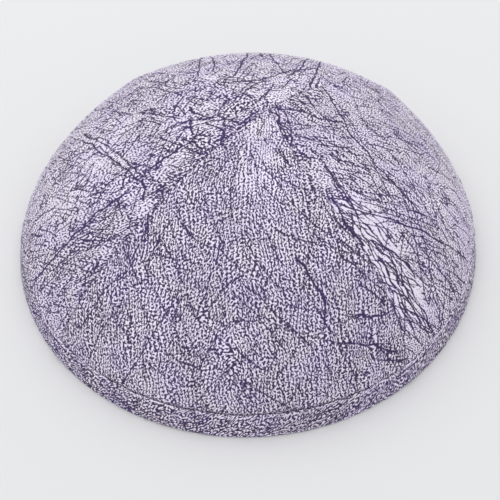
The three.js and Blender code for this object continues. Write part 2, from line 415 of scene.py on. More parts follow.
class SkullcapForm(bpy.types.PropertyGroup):
    """Sizes of the cap."""

    rim_diameter: bpy.props.FloatProperty(
        name="Rim diameter", description="Across the outside of the band, at the table",
        default=round(rim_high.x - rim_low.x, 4), min=0.1, max=0.3, unit="LENGTH", precision=4)
    crown_height: bpy.props.FloatProperty(
        name="Crown height", description="From the table to the top of the gores",
        default=round(CROWN_TOP, 4), min=0.02, max=0.2, unit="LENGTH", precision=4)
    crown_drift: bpy.props.FloatVectorProperty(
        name="Crown drift", description="How far the soft top has settled to the right and back",
        default=(0.0083, 0.0051), size=2, unit="LENGTH", precision=4)
    gore_thickness: bpy.props.FloatProperty(
        name="Gore thickness", description="Leather of the gores",
        default=0.0012, min=0.0005, max=0.003, unit="LENGTH", precision=4)
    band_thickness: bpy.props.FloatProperty(
        name="Band thickness", description="Leather of the rim band",
        default=0.0009, min=0.0005, max=0.003, unit="LENGTH", precision=4)
    band_height: bpy.props.FloatProperty(
        name="Band height", description="Outer leg of the band, above the table",
        default=0.0094, min=0.004, max=0.03, unit="LENGTH", precision=4)
    band_turn_in: bpy.props.FloatProperty(
        name="Band turn-in", description="Inner leg of the band, above the table",
        default=0.0075, min=0.004, max=0.03, unit="LENGTH", precision=4)
    band_proud: bpy.props.FloatProperty(
        name="Band proud", description="How far the band stands out from the dome",
        default=0.0003, min=0, max=0.002, unit="LENGTH", precision=4)
    seam_gap: bpy.props.FloatProperty(
        name="Seam gap", description="Clearance between the folded layers of the band",
        default=0.0003, min=0, max=0.001, unit="LENGTH", precision=4)
    seam_roll: bpy.props.FloatProperty(
        name="Seam roll", description="Width over which a gore's edge rolls down into its seam",
        default=0.0007, min=0.0003, max=0.004, unit="LENGTH", precision=4)
    allowance: bpy.props.FloatProperty(
        name="Seam allowance", description="Leather turned back inside along each seam",
        default=0.0055, min=0.002, max=0.012, unit="LENGTH", precision=4)


class SkullcapLeather(bpy.types.PropertyGroup):
    """Colours and relief of the leather."""

    raised: bpy.props.FloatVectorProperty(
        name="Raised grain", description="Colour that was wiped over the raised grain",
        default=linear("f3eaf9"), size=3, subtype="COLOR", min=0, max=1)
    raised_mauve: bpy.props.FloatVectorProperty(
        name="Mauve grain", description="Colour of the raised grain in its mauve patches",
        default=linear("f0e5fb"), size=3, subtype="COLOR", min=0, max=1)
    crease: bpy.props.FloatVectorProperty(
        name="Crease dye", description="Dark dye that stays in the creases",
        default=linear("3d2e54"), size=3, subtype="COLOR", min=0, max=1)
    crease_violet: bpy.props.FloatVectorProperty(
        name="Violet dye", description="Dye in the creases of the mauve patches",
        default=linear("412f61"), size=3, subtype="COLOR", min=0, max=1)
    back: bpy.props.FloatVectorProperty(
        name="Leather back", description="Colour of the leather's napped back",
        default=linear("9a92a8"), size=3, subtype="COLOR", min=0, max=1)
    grain_relief: bpy.props.FloatProperty(
        name="Grain relief", description="Depth of the dyed grain lines",
        default=0.00008, min=0, max=0.001, unit="LENGTH", precision=5)
    crease_relief: bpy.props.FloatProperty(
        name="Crease relief", description="Depth of the long creases",
        default=0.00018, min=0, max=0.001, unit="LENGTH", precision=5)


class SkullcapStage(bpy.types.PropertyGroup):
    """Floor, light and camera."""

    floor: bpy.props.FloatVectorProperty(
        name="Floor", description="Colour of the plain floor",
        default=(0.8, 0.8, 0.795), size=3, subtype="COLOR", min=0, max=1)
    key_power: bpy.props.FloatProperty(
        name="Soft light", description="Power of the large light overhead",
        default=7.3, min=0, unit="POWER")
    sky: bpy.props.FloatProperty(
        name="Room light", description="Strength of the even light from all round",
        default=0.78, min=0)


def ease(low, high, value):
    """Smooth step: 0 up to low, 1 from high, 3 t squared less 2 t cubed between."""
    t = np.clip((value - low) / (high - low), 0, 1)
    return t * t * (3 - 2 * t)


# Form. A fall is an angle along the profile: 0 at the top of the crown, a quarter turn at the
# table.

def dome_radius(form):
    """Radius of the bare dome at the table, from which the band stands out."""
    return form.rim_diameter / 2 - form.band_proud


def share_at(fall):
    """Share of the dome's radius: sin(fall) to the power 2 / fall power."""
    return np.sin(fall) ** (2 / PROFILE_FALL_POWER)


def height_at(form, fall):
    """Height: crown height times cos(fall) to the power 2 / height power."""
    return form.crown_height * np.maximum(np.cos(fall), 0) ** (2 / PROFILE_HEIGHT_POWER)


def fall_at(form, height):
    """Fall at which the profile has a height, the inverse of height_at."""
    return np.arccos((np.asarray(height) / form.crown_height) ** (PROFILE_HEIGHT_POWER / 2))


def profile_table(form):
    """Falls, and the length along the profile from the crown down to each, in metres."""
    falls = np.linspace(CROWN_FALL, QUARTER, PROFILE_STEPS)
    across = share_at(falls) * dome_radius(form)
    steps = np.hypot(np.diff(across), np.diff(height_at(form, falls)))
    return falls, np.concatenate([[across[0]], across[0] + np.cumsum(steps)])


def seam_azimuth(gore, share):
    """Azimuth of a gore's left seam: its straight azimuth plus (bow sin(pi share) + sway
    sin(2 pi share)) / share. The seam after the last gore is the first, a turn on."""
    _, straight, bow, sway = SEAMS[gore % len(SEAMS)]
    sideways = bow * np.sin(pi * share) + sway * np.sin(2 * pi * share)
    return radians(straight) + 2 * pi * (gore // len(SEAMS)) + sideways / share


def dome_points(form, gore, across, fall, edge_gap=0.0):
    """Points and outward normals of the bare dome. across runs from a gore's left seam, 0, to
    its right one, 1. The section's radius is shrunk by squareness (1 - share) (inset - average),
    where inset is how far a square's side lies inside its corners' circle; the crown's drift
    fades with the share; the normal is that of a round section."""
    share = share_at(fall)
    clear = np.arcsin(np.clip(edge_gap / (dome_radius(form) * share), 0, 1))
    left, right = seam_azimuth(gore, share) + clear, seam_azimuth(gore + 1, share) - clear
    azimuth = left + (right - left) * across
    from_seam = QUARTER * np.minimum(across, 1 - across)
    inset = 1 - cos(QUARTER / 2) / np.cos(QUARTER / 2 - from_seam)
    radius = dome_radius(form) * share * (1 - SQUARENESS * (1 - share) * (inset - AVERAGE_INSET))
    drift_x, drift_y = form.crown_drift
    points = np.stack([drift_x * (1 - share) + radius * np.cos(azimuth),
                       drift_y * (1 - share) + radius * np.sin(azimuth),
                       height_at(form, fall) + 0 * azimuth], -1)
    steep = np.minimum(fall, FOOT_FALL)
    share_rate = share_at(steep) / np.tan(steep) * 2 / PROFILE_FALL_POWER
    height_rate = height_at(form, steep) * np.tan(steep) * 2 / PROFILE_HEIGHT_POWER
    drift = drift_x * np.cos(azimuth) + drift_y * np.sin(azimuth)
    normals = np.stack([height_rate * np.cos(azimuth), height_rate * np.sin(azimuth),
                        share_rate * (dome_radius(form) - drift)], -1)
    return points, normals / np.linalg.norm(normals, axis=-1, keepdims=True)


# Leather. Noise tiles repeat after TILE_SIDE, so the band can go round them.

def tile_waves():
    """Wave numbers down and across the tile, in cycles for each millimetre."""
    waves = np.fft.fftfreq(TILE_CELLS, TILE_SIDE / TILE_CELLS)
    return np.meshgrid(waves, waves, indexing="ij")


def grain_tile(seed, spacing, long):
    """Raised grain: white noise kept only near one spacing, by a bell over the logarithm of
    wave number times spacing, with the waves stretched along the gore. Unit deviation."""
    down, across = tile_waves()
    wave = np.hypot(across, down * long) * spacing
    bell = np.exp(-(np.log(np.maximum(wave, 1e-6)) / GRAIN_SPREAD) ** 2)
    noise = np.random.default_rng(seed).standard_normal((TILE_CELLS, TILE_CELLS))
    tile = np.real(np.fft.ifft2(np.fft.fft2(noise) * bell))
    return tile / tile.std()


def soft_tile(seed, wavelength, long=1.0):
    """Soft noise: white noise through a bell over the wave number. Unit deviation."""
    down, across = tile_waves()
    wave = np.hypot(across, down * long) * wavelength
    noise = np.random.default_rng(seed).standard_normal((TILE_CELLS, TILE_CELLS))
    tile = np.real(np.fft.ifft2(np.fft.fft2(noise) * np.exp(-SOFT_FALL * wave ** 2)))
    tile -= tile.mean()
    return tile / tile.std()


def look_up(tile, x, y):
    """Value of a repeating tile at places in millimetres, between its four nearest cells."""
    cell = TILE_SIDE / TILE_CELLS
    fx, fy = (x / cell) % TILE_CELLS, (y / cell) % TILE_CELLS
    x0, y0 = np.floor(fx).astype(int) % TILE_CELLS, np.floor(fy).astype(int) % TILE_CELLS
    tx, ty = fx - np.floor(fx), fy - np.floor(fy)
    x1, y1 = (x0 + 1) % TILE_CELLS, (y0 + 1) % TILE_CELLS
    upper = tile[y0, x0] * (1 - tx) + tile[y0, x1] * tx
    lower = tile[y1, x0] * (1 - tx) + tile[y1, x1] * tx
    return upper * (1 - ty) + lower * ty


def soft_noise(hide, x, y, number, spacing, long=1.0):
    """Soft noise of a hide at flat places. Each use has its own number, added to the seed."""
    return look_up(soft_tile(hide["seed"] + number, spacing, long), x, y)


def hairlines(seed, spacing, long, turn, width, x, y):
    """Long fine creases: the lines on which stretched soft noise is zero. The distance from a
    line is the noise over its slope. Turned by some degrees from straight down the leather.
    1 on a line, falling evenly to 0 at its reach."""
    tile = soft_tile(seed, spacing, long)
    cell = TILE_SIDE / TILE_CELLS
    down = (np.roll(tile, -1, 0) - np.roll(tile, 1, 0)) / (2 * cell)
    across = (np.roll(tile, -1, 1) - np.roll(tile, 1, 1)) / (2 * cell)
    distance = np.abs(tile) / np.maximum(np.hypot(down, across), LEAST_SLOPE / spacing)
    c, s = cos(radians(turn)), sin(radians(turn))
    away = look_up(distance, x * c + y * s, y * c - x * s)
    return np.clip(1 - away / (LINE_REACH * width), 0, 1)


def fold_lines(seed, folds, x, y):
    """Sets of long fine creases, each fading in and out along its lines. The darkest counts."""
    darkest = np.zeros(x.shape)
    for number, (spacing, long, turn, width, dark) in enumerate(folds):
        lines = hairlines(seed + 2 * number, spacing, long, turn, width, x, y)
        fading = soft_tile(seed + 2 * number + 1, FADE_SPACING * spacing, FADE_STRETCH)
        fade = ease(FADE_FROM, FADE_TO, look_up(fading, x, y))
        darkest = np.maximum(darkest, dark * fade * lines)
    return darkest


def rounded(line):
    """A line of points with its corners cut twice, at a quarter and three quarters."""
    line = np.asarray(line, float)
    for _ in range(2):
        cut = np.stack([0.75 * line[:-1] + 0.25 * line[1:], 0.25 * line[:-1] + 0.75 * line[1:]], 1)
        line = np.concatenate([line[:1], cut.reshape(-1, line.shape[1]), line[-1:]])
    return line


def distance_to(line, reach, x, y):
    """Distance of places from the nearest point of a line of segments, in millimetres, worked
    out only for places that may be within reach."""
    low, high = line.min(0) - reach, line.max(0) + reach
    near = (x > low[0]) & (x < high[0]) & (y > low[1]) & (y < high[1])
    px, py = x[near], y[near]
    least = np.full(px.shape, np.inf)
    for (ax, ay), (bx, by) in zip(line[:-1], line[1:]):
        length = max((bx - ax) ** 2 + (by - ay) ** 2, 1e-9)
        along = np.clip(((px - ax) * (bx - ax) + (py - ay) * (by - ay)) / length, 0, 1)
        least = np.minimum(least, np.hypot(px - ax - along * (bx - ax),
                                           py - ay - along * (by - ay)))
    away = np.full(x.shape, np.inf)
    away[near] = least
    return away


def photo_axes():
    """Place of the camera, and its right, up and forward directions."""
    angle = radians(CAMERA_HEIGHT_ANGLE)
    place = -CAMERA_DISTANCE * np.array([0, cos(angle), -sin(angle)])
    pitch, yaw, roll = angle + radians(CAMERA_PITCH), radians(CAMERA_YAW), radians(CAMERA_ROLL)
    forward = np.array([sin(yaw) * cos(pitch), cos(yaw) * cos(pitch), -sin(pitch)])
    right = np.array([cos(yaw), -sin(yaw), 0])
    up = np.cross(right, forward)
    return (place, right * cos(roll) - up * sin(roll), right * sin(roll) + up * cos(roll), forward)


def photo_pixels(points):
    """Where points fall in the photograph, in its pixels."""
    place, right, up, forward = photo_axes()
    ray = points - place
    depth = ray @ forward
    return np.stack([PHOTO_SIDE / 2 + FOCAL_PIXELS * (ray @ right) / depth,
                     PHOTO_SIDE / 2 - FOCAL_PIXELS * (ray @ up) / depth], -1)


def flat_places(pixels, seen, x, y):
    """Flat places of the points of a gore that are seen nearest to some pixels."""
    near = [np.argmin(np.hypot(seen[:, 0] - px, seen[:, 1] - py)) for px, py in pixels]
    return np.stack([x[near], y[near]], -1)


def run_share(run, half_width, x, y):
    """1 along the middle of a followed run, easing to 0 at its half width. Runs hold stains,
    patches of painted light and nets.
    """
    return 1 - ease(RUN_CORE * half_width, half_width, distance_to(run, half_width, x, y))


def two_tone(hide, x, y, stains_and_painted_light=0.0):
    """Dye in the grain and in the fine creases at flat places. The grain's height is noise plus
    a cosine across its rows. The dye is 0.5 at the level up to which it fills the grain, rises
    evenly with the depth under that level, and wanders with the wear."""
    wander = soft_noise(hide, x, y, number=1, spacing=9)
    worn = soft_noise(hide, x, y, number=2, spacing=8)
    across = x + hide["lean"] * y + GRAIN_WANDER * wander
    height = look_up(grain_tile(hide["seed"], hide["grain"], hide["long"]), across, y)
    height = height * (1 + WORN_SHARE * worn)
    height = height + hide["rows"] * np.cos(2 * pi * across / ROW_SPACING)
    # The dye's level moves with the stains, and with the painted light and painted sheen laid on as
    # less dye.
    grain = np.clip(0.5 + (hide["dye"] + stains_and_painted_light - height) / DYE_DEPTH, 0, 1)
    return grain, fold_lines(hide["seed"] + FOLD_SEED, hide["folds"], x + FOLD_WANDER * wander, y)


def mauve_patches(hide, x, y):
    """Share of the second pair of colours, 0 to 1, in soft patches."""
    return ease(*MAUVE_SPAN, soft_noise(hide, x, y, number=9, spacing=11))


def followed_dye(name, hide, points, x, y):
    """Dye in the grain of a gore and in all its creases: those of its hide, with the stains,
    patches of painted light and sheen, creases and nets that were followed on the photograph."""
    seen = photo_pixels(points)

    def along(table):
        for *numbers, pixels in table.get(name, []):
            yield *numbers, rounded(flat_places(pixels, seen, x, y))

    # Stains of the leather, and patches of painted light and painted sheen, shift the dye's level.
    stains_and_painted_light = 0.0
    for half_width, amount, run in along(STAINS_AND_PAINTED_LIGHT):
        stains_and_painted_light = stains_and_painted_light + amount * run_share(run, half_width, x, y)
    grain, hair = two_tone(hide, x, y, stains_and_painted_light)
    wander_x = LINE_WANDER * soft_noise(hide, x, y, number=6, spacing=6)
    wander_y = LINE_WANDER * soft_noise(hide, x, y, number=7, spacing=6)
    uneven = soft_noise(hide, x, y, number=12, spacing=3)
    for width, dark, line in along(CREASES):
        away = distance_to(line, CREASE_REACH, x + wander_x, y + wander_y)
        half = width * (HALF_SHARE + HALF_UNEVEN * uneven)
        hair = np.maximum(hair, dark * np.clip(1 - away / half, 0, 1))
    for half_width, fold, run in along(NETS):
        net = fold_lines(hide["seed"] + NET_SEED, [fold], x + NET_WANDER * wander_x, y)
        hair = np.maximum(hair, net * run_share(run, half_width, x, y))
    return grain, hair


def sunk(look, grain, hair):
    """How far the surface sinks into the dyed grain and the creases, in millimetres."""
    in_grain = look.grain_relief / MM * ease(*RELIEF_SPAN, grain)
    return in_grain + look.crease_relief / MM * hair


# Meshes

def make_mesh(name, points, faces, finishes, dye, tone, mauve):
    """A smooth mesh from points, faces (arrays of three or four corners, each with the number
    of its finish), and the numbers its material reads at each point."""
    mesh = bpy.data.meshes.new(name)
    mesh.vertices.add(len(points))
    mesh.vertices.foreach_set("co", np.ascontiguousarray(points, np.float32).ravel())
    corners = np.concatenate([part.ravel() for part, _ in faces]).astype(np.int32)
    sizes = np.concatenate([np.full(len(part), part.shape[1]) for part, _ in faces])
    mesh.loops.add(len(corners))
    mesh.loops.foreach_set("vertex_index", corners)
    mesh.polygons.add(len(sizes))
    starts = np.concatenate([[0], np.cumsum(sizes)[:-1]]).astype(np.int32)
    mesh.polygons.foreach_set("loop_start", starts)
    numbers = np.concatenate([np.full(len(part), number) for part, number in faces])
    for finish in finishes:
        mesh.materials.append(finish)
    mesh.polygons.foreach_set("material_index", numbers.astype(np.int32))
    for label, values in (("dye", dye), ("tone", tone), ("mauve", mauve)):
        layer = mesh.attributes.new(label, "FLOAT", "POINT")
        layer.data.foreach_set("value", np.ascontiguousarray(values, np.float32))
    mesh.update(calc_edges=True)
    if mesh.validate(verbose=False):
        raise RuntimeError(f"{name} has faces that Blender had to mend")
    mesh.shade_smooth()
    made = bpy.data.objects.new(name, mesh)
    bpy.context.scene.collection.objects.link(made)
    return made


def gore_rings(rings):
    """A square grid laid over a gore's triangle: the corner 0, 0 is the crown, and the point i, j
    is on ring k, the larger of the two. It is j steps of 2k from the left seam where i is k, and
    2k - i steps where j is k. Returns each point's ring and its place across."""
    i, j = np.meshgrid(np.arange(rings + 1), np.arange(rings + 1), indexing="ij")
    ring = np.maximum(i, j)
    step = np.where(i == ring, j, 2 * ring - i)
    across = np.where(ring > 0, step / np.maximum(2 * ring, 1), 0.5)
    return ring.ravel(), across.ravel()


def grid_quads(rings, first=0, turned=False):
    """Four corners of each cell of a square grid, in order, or turned over."""
    number = np.arange((rings + 1) ** 2).reshape(rings + 1, rings + 1) + first
    quads = np.stack([number[:-1, :-1], number[1:, :-1], number[1:, 1:], number[:-1, 1:]], -1)
    quads = quads.reshape(-1, 4)
    return quads[:, ::-1] if turned else quads


def grid_edge(rings, first=0):
    """Points of a square grid's edge in order: left seam, foot, right seam."""
    number = np.arange((rings + 1) ** 2).reshape(rings + 1, rings + 1) + first
    return np.concatenate([number[:-1, 0], number[-1, :-1], number[:0:-1, -1], number[0, :0:-1]])


def edge_faces(outer, inner):
    """Triangles between an outer edge and an inner one that has a third of its points."""
    a, b = inner, np.roll(inner, -1)
    p = [np.roll(outer, -shift)[::3] for shift in range(4)]
    return np.concatenate([np.stack(corners, -1) for corners in (
        (p[0], a, p[1]), (p[1], a, b), (p[1], b, p[2]), (p[2], b, p[3]))])


def ring_lengths(form):
    """Lengths along the profile of the outer rings of a gore: even down to the band, and then
    even under it, down to the foot inside the fold. In metres."""
    falls, lengths = profile_table(form)
    foot = form.band_thickness + form.seam_gap
    band, foot = np.interp(fall_at(form, [form.band_height, foot]), falls, lengths)
    above = np.linspace(CROWN_CLEARANCE * MM, band, OUTER_RINGS + 1 - RINGS_UNDER_BAND)
    return np.concatenate([above, np.linspace(band, foot, RINGS_UNDER_BAND + 1)[1:]])


def gore_places(form, gore, rings):
    """Points and normals of a gore's bare dome on its outer rings, or on every few of them, and
    in millimetres the points' flat places x and y, distances from the nearer seam and heights
    above the band."""
    falls, lengths = profile_table(form)
    ring, across = gore_rings(rings)
    length = ring_lengths(form)[OUTER_RINGS // rings * ring]
    fall = np.interp(length, lengths, falls)
    points, normals = dome_points(form, gore, across, fall, SEAM_CLEARANCE * MM)
    width = QUARTER * dome_radius(form) * share_at(fall) / MM
    from_seam = np.minimum(across, 1 - across) * width
    above = (height_at(form, fall) - form.band_height) / MM
    x, y = (across - 0.5) * width + TILE_SIDE / 2, length / MM
    return points, normals, x, y, from_seam, above


def tuck_depth(form):
    """How far the gores dip in to pass under the band, in millimetres."""
    return (form.band_thickness + form.seam_gap - form.band_proud) / MM


def outer_offset(form, name, x, y, from_seam, above):
    """How far a gore's outer face stands out from the bare dome, in millimetres. The edge rolls
    down on a quarter circle, and the allowance under it lifts the leather. It dips in under the
    band, with shallow puckers where the strip is sewn on."""
    roll = form.seam_roll / MM
    edge = np.clip(1 - from_seam / roll, 0, 1)
    out = -ROLL_DEPTH * roll * (1 - np.sqrt(1 - edge ** 2))
    past_allowance = ease(*ALLOWANCE_FADE, from_seam - form.allowance / MM)
    out += ALLOWANCE_RISE * (1 - past_allowance) * ease(*CROWN_SPAN, y)
    groove = GROOVE_WIDTH + GROOVE_ADDED.get(name, 0) * ease(*GROOVE_SPAN, from_seam)
    out -= tuck_depth(form) * (1 - ease(-GROOVE_WIDTH, groove, above))
    pucker = PUCKER_DEPTH * soft_noise(HIDES[name], x, y, number=10, spacing=5, long=3)
    return out + pucker * (1 - ease(*PUCKER_SPAN, above)) * ease(*PUCKER_START_SPAN, above)


def inner_offset(form, y, from_seam, above):
    """How far a gore's inner face stands out from the bare dome, in millimetres: less than
    nothing by its thickness, the dip under the band, and the allowances turned back."""
    out = -form.gore_thickness / MM
    out = out - tuck_depth(form) * (1 - ease(-GROOVE_WIDTH, INNER_GROOVE_WIDTH, above))
    past_edge = ease(-ALLOWANCE_EDGE, ALLOWANCE_EDGE, from_seam - form.allowance / MM)
    turned_back = (1 - past_edge) * ease(*SEAM_SPAN, from_seam)
    turned_back = turned_back * ease(*ALLOWANCE_FOOT_SPAN, above) * ease(*INNER_CROWN_SPAN, y)
    return out - ALLOWANCE_STEP * turned_back


def make_gore(context, gore, leather, suede):
    """One gore: its outer face with grain, creases and rolled seams, its inner face with the
    seam allowances, and the walls between them."""
    scene = context.scene
    form, look = scene.skullcap_form, scene.skullcap_leather
    name = SEAMS[gore][0]
    hide = HIDES[name]

    points, normals, x, y, from_seam, above = gore_places(form, gore, OUTER_RINGS)
    # The grain's dye holds painted light and painted sheen on some patches, as well as stains.
    grain, hair = followed_dye(name, hide, points, x, y)
    seam_dye = SEAM_DYE * (1 - ease(*SEAM_DYE_SPAN, from_seam))
    dye = np.clip(np.maximum(np.maximum(grain, hair), seam_dye), 0, 1)
    tone = 1 + GORE_SHADING * soft_noise(hide, x, y, number=8, spacing=22)
    mauve = mauve_patches(hide, x, y)
    out = outer_offset(form, name, x, y, from_seam, above) - sunk(look, grain, hair)
    outer = points + normals * (out * MM)[:, None]

    points, normals, x, y, from_seam, above = gore_places(form, gore, INNER_RINGS)
    inner = points + normals * (inner_offset(form, y, from_seam, above) * MM)[:, None]

    first = len(outer)
    edge = edge_faces(grid_edge(OUTER_RINGS), grid_edge(INNER_RINGS, first))
    faces = [(grid_quads(OUTER_RINGS), 0), (grid_quads(INNER_RINGS, first, True), 1), (edge, 1)]
    plain = np.ones(len(inner))
    return make_mesh(name + "_leather", np.concatenate([outer, inner]), faces, (leather, suede),
                     np.concatenate([dye, 0.5 * plain]), np.concatenate([tone, plain]),
                     np.concatenate([mauve, 0 * plain]))


def band_section(form):
    """Section of the band as a closed loop, from the foot out and up, over the lip, down
    between the legs, up over the inner lip and down to the foot. Rows of height and of distance
    out from the dome, in metres, and how far each row takes the leather's relief."""
    out, thick, gap = form.band_proud, form.band_thickness, form.seam_gap
    back = out - thick
    front = back - gap - form.gore_thickness - gap
    inside = front - thick
    fold, lip = FOLD_ROUNDING * thick, LIP_ROUNDING * thick
    turn = np.linspace(0, QUARTER, FOLD_ROWS)
    over = np.linspace(0, pi, LIP_ROWS)

    def leg(place, low, high, rows, relief):
        return [(h, place, relief) for h in np.linspace(low, high, rows)]

    rows = [(0.0, out - fold, 0.0)]
    rows += [(fold * (1 - cos(t)), out - fold * (1 - sin(t)), t / QUARTER) for t in turn[1:]]
    rows += leg(out, fold, form.band_height - lip, LEG_ROWS, 1.0)[1:]
    rows += [(form.band_height - lip * (1 - sin(t)), out - lip * (1 - cos(t)),
              1 - t / pi) for t in over[1:]]
    foot = thick + gap
    rows += leg(back, form.band_height - lip, foot, HIDDEN_ROWS, 0.0)[1:]
    rows += [(thick, back, 0.0), (thick, front, 0.0)]
    rows += leg(front, foot, form.band_turn_in - lip, HIDDEN_ROWS, 0.0)
    rows += [(form.band_turn_in - lip * (1 - sin(t)), front - lip * (1 - cos(t)), 0.0)
             for t in over[::2][1:]]
    rows += leg(inside, form.band_turn_in - lip, fold, INSIDE_ROWS, 0.0)[1:]
    rows += [(fold * (1 - sin(t)), inside + fold * (1 - cos(t)), 0.0) for t in turn[::3][1:]]
    return np.array(rows)


def make_band(context, leather):
    """The rim band: its section carried once round the cap along the foot of the gores."""
    scene = context.scene
    form, look = scene.skullcap_form, scene.skullcap_leather
    hide = HIDES["rim_band"]
    section = band_section(form)
    height, out, relief = (np.tile(section[:, c], (BAND_COLUMNS, 1)) for c in range(3))
    steps = np.hypot(np.diff(section[:, 0]), np.diff(section[:, 1])) / MM
    down = np.tile(np.concatenate([[0], np.cumsum(steps)]), (BAND_COLUMNS, 1))
    # Turns are counted in gores from the first seam, and the strip starts at the seam opposite.
    turn = np.arange(BAND_COLUMNS) * len(SEAMS) / BAND_COLUMNS
    along = (turn + len(SEAMS) / 2) % len(SEAMS)
    x = np.tile((along * TILE_SIDE * BAND_TILES / len(SEAMS))[:, None], (1, len(section)))
    y = down + BAND_START

    grain, hair = two_tone(hide, x, y)
    tone = BAND_TONE + BAND_SHADING * soft_noise(hide, x, y, number=8, spacing=18)
    mauve = mauve_patches(hide, x, y)
    dye = np.clip(np.maximum(grain, hair), 0, 1)
    lip = np.abs(height - form.band_height) < form.band_thickness
    dye = np.where(lip & (relief > 0.5), LIP_DYE * dye, dye)

    # Soft unevenness of the hand-folded strip, and a rise over the four seams under it.
    uneven = soft_noise(hide, x, y, number=10, spacing=7, long=0.5)
    on_leg = relief * ease(*PRESS_SPAN, height / MM)
    seam = np.minimum(turn % 1, 1 - turn % 1)[:, None] * QUARTER * dome_radius(form) / MM
    rise = BAND_UNEVEN * uneven + SEAM_RISE * (1 - ease(*SEAM_RISE_SPAN, seam))
    out = out + on_leg * (rise - BAND_PRESS) * MM - relief * sunk(look, grain, hair) * MM
    edge = TOP_EDGE_WANDER * soft_noise(hide, x, 0 * y, number=11, spacing=4)
    near_top = ease(*TOP_EDGE_SPAN, height / form.band_height)
    height = height + near_top * edge * MM * (section[:, 0] > form.band_turn_in)

    places, normals = np.empty(x.shape + (3,)), np.empty(x.shape + (3,))
    for gore in range(len(SEAMS)):
        part = (turn >= gore) & (turn < gore + 1)
        across = np.tile((turn[part] - gore)[:, None], (1, len(section)))
        places[part], normals[part] = dome_points(form, gore, across, fall_at(form, height[part]))
    points = places + normals * out[..., None]
    points[..., 2] = np.where(height <= 0, 0, points[..., 2])

    number = np.arange(x.size).reshape(x.shape)
    there = np.roll(number, -1, 0)
    quads = np.stack([number, there, np.roll(there, -1, 1), np.roll(number, -1, 1)], -1)
    return make_mesh("rim_band_leather", points.reshape(-1, 3), [(quads.reshape(-1, 4), 0)],
                     (leather,), dye.ravel(), tone.ravel(), mauve.ravel())


# Materials

def add_node(tree, kind, settings=None, **inputs):
    """Adds a node. Settings are its own options; inputs are values or sockets to link, named by
    their label with underscores, or by their number as in0."""
    node = tree.nodes.new(kind)
    for label, value in (settings or {}).items():
        setattr(node, label, value)
    for label, value in inputs.items():
        numbered = label[:2] == "in" and label[2:].isdigit()
        key = int(label[2:]) if numbered else label.replace("_", " ")
        if isinstance(value, bpy.types.NodeSocket):
            tree.links.new(value, node.inputs[key])
        else:
            node.inputs[key].default_value = value
    return node


def new_material(name):
    """An empty material with nodes, and its tree."""
    material = bpy.data.materials.new(name)
    material.use_nodes = True
    material.node_tree.nodes.clear()
    return material, material.node_tree


def read(tree, label):
    """Socket of a number that the mesh holds at each point."""
    return add_node(tree, "ShaderNodeAttribute", {"attribute_name": label}).outputs["Fac"]


def antiqued_leather(name, look):
    """Two-tone antiqued leather: split hide that was embossed, dyed dark all over and then
    wiped with a pale topcoat, so the raised grain is pale and satin, and the creases keep the
    dark dye and stay duller. Soft patches of it lean to mauve."""
    material, tree = new_material(name)
    place = add_node(tree, "ShaderNodeTexCoord").outputs["Object"]
    # Flecks of the size at which the wiped edge of the topcoat breaks up.
    flecks = add_node(tree, "ShaderNodeTexNoise", Vector=place, Scale=1 / (FLECK_SIZE * MM),
                      Detail=1.0, Roughness=0.6).outputs["Fac"]
    fleck_shift = add_node(tree, "ShaderNodeMapRange", Value=flecks, From_Min=0.3, From_Max=0.7,
                           To_Min=-0.12, To_Max=0.12).outputs[0]
    filled = add_node(tree, "ShaderNodeMath", {"operation": "ADD"}, in0=read(tree, "dye"),
                      in1=fleck_shift).outputs[0]
    dye = add_node(tree, "ShaderNodeMapRange", {"interpolation_type": "SMOOTHSTEP"},
                   Value=filled, From_Min=0.33, From_Max=0.67).outputs[0]
    pale = add_node(tree, "ShaderNodeMix", {"data_type": "RGBA"}, in0=read(tree, "mauve"),
                    in6=(*look.raised, 1), in7=(*look.raised_mauve, 1)).outputs[2]
    toned = add_node(tree, "ShaderNodeVectorMath", {"operation": "SCALE"}, in0=pale,
                     Scale=read(tree, "tone")).outputs[0]
    dark = add_node(tree, "ShaderNodeMix", {"data_type": "RGBA"}, in0=read(tree, "mauve"),
                    in6=(*look.crease, 1), in7=(*look.crease_violet, 1)).outputs[2]
    colour = add_node(tree, "ShaderNodeMix", {"data_type": "RGBA"}, in0=dye, in6=toned,
                      in7=dark).outputs[2]
    rough = add_node(tree, "ShaderNodeMapRange", Value=dye, To_Min=0.38, To_Max=0.8).outputs[0]
    bump = add_node(tree, "ShaderNodeBump", Strength=0.35, Distance=0.0001,
                    Height=flecks).outputs[0]
    shader = add_node(tree, "ShaderNodeBsdfPrincipled", Base_Color=colour, Roughness=rough,
                      Normal=bump, IOR=1.38, Sheen_Weight=0.05, Sheen_Roughness=0.35)
    add_node(tree, "ShaderNodeOutputMaterial", Surface=shader.outputs[0])
    return material


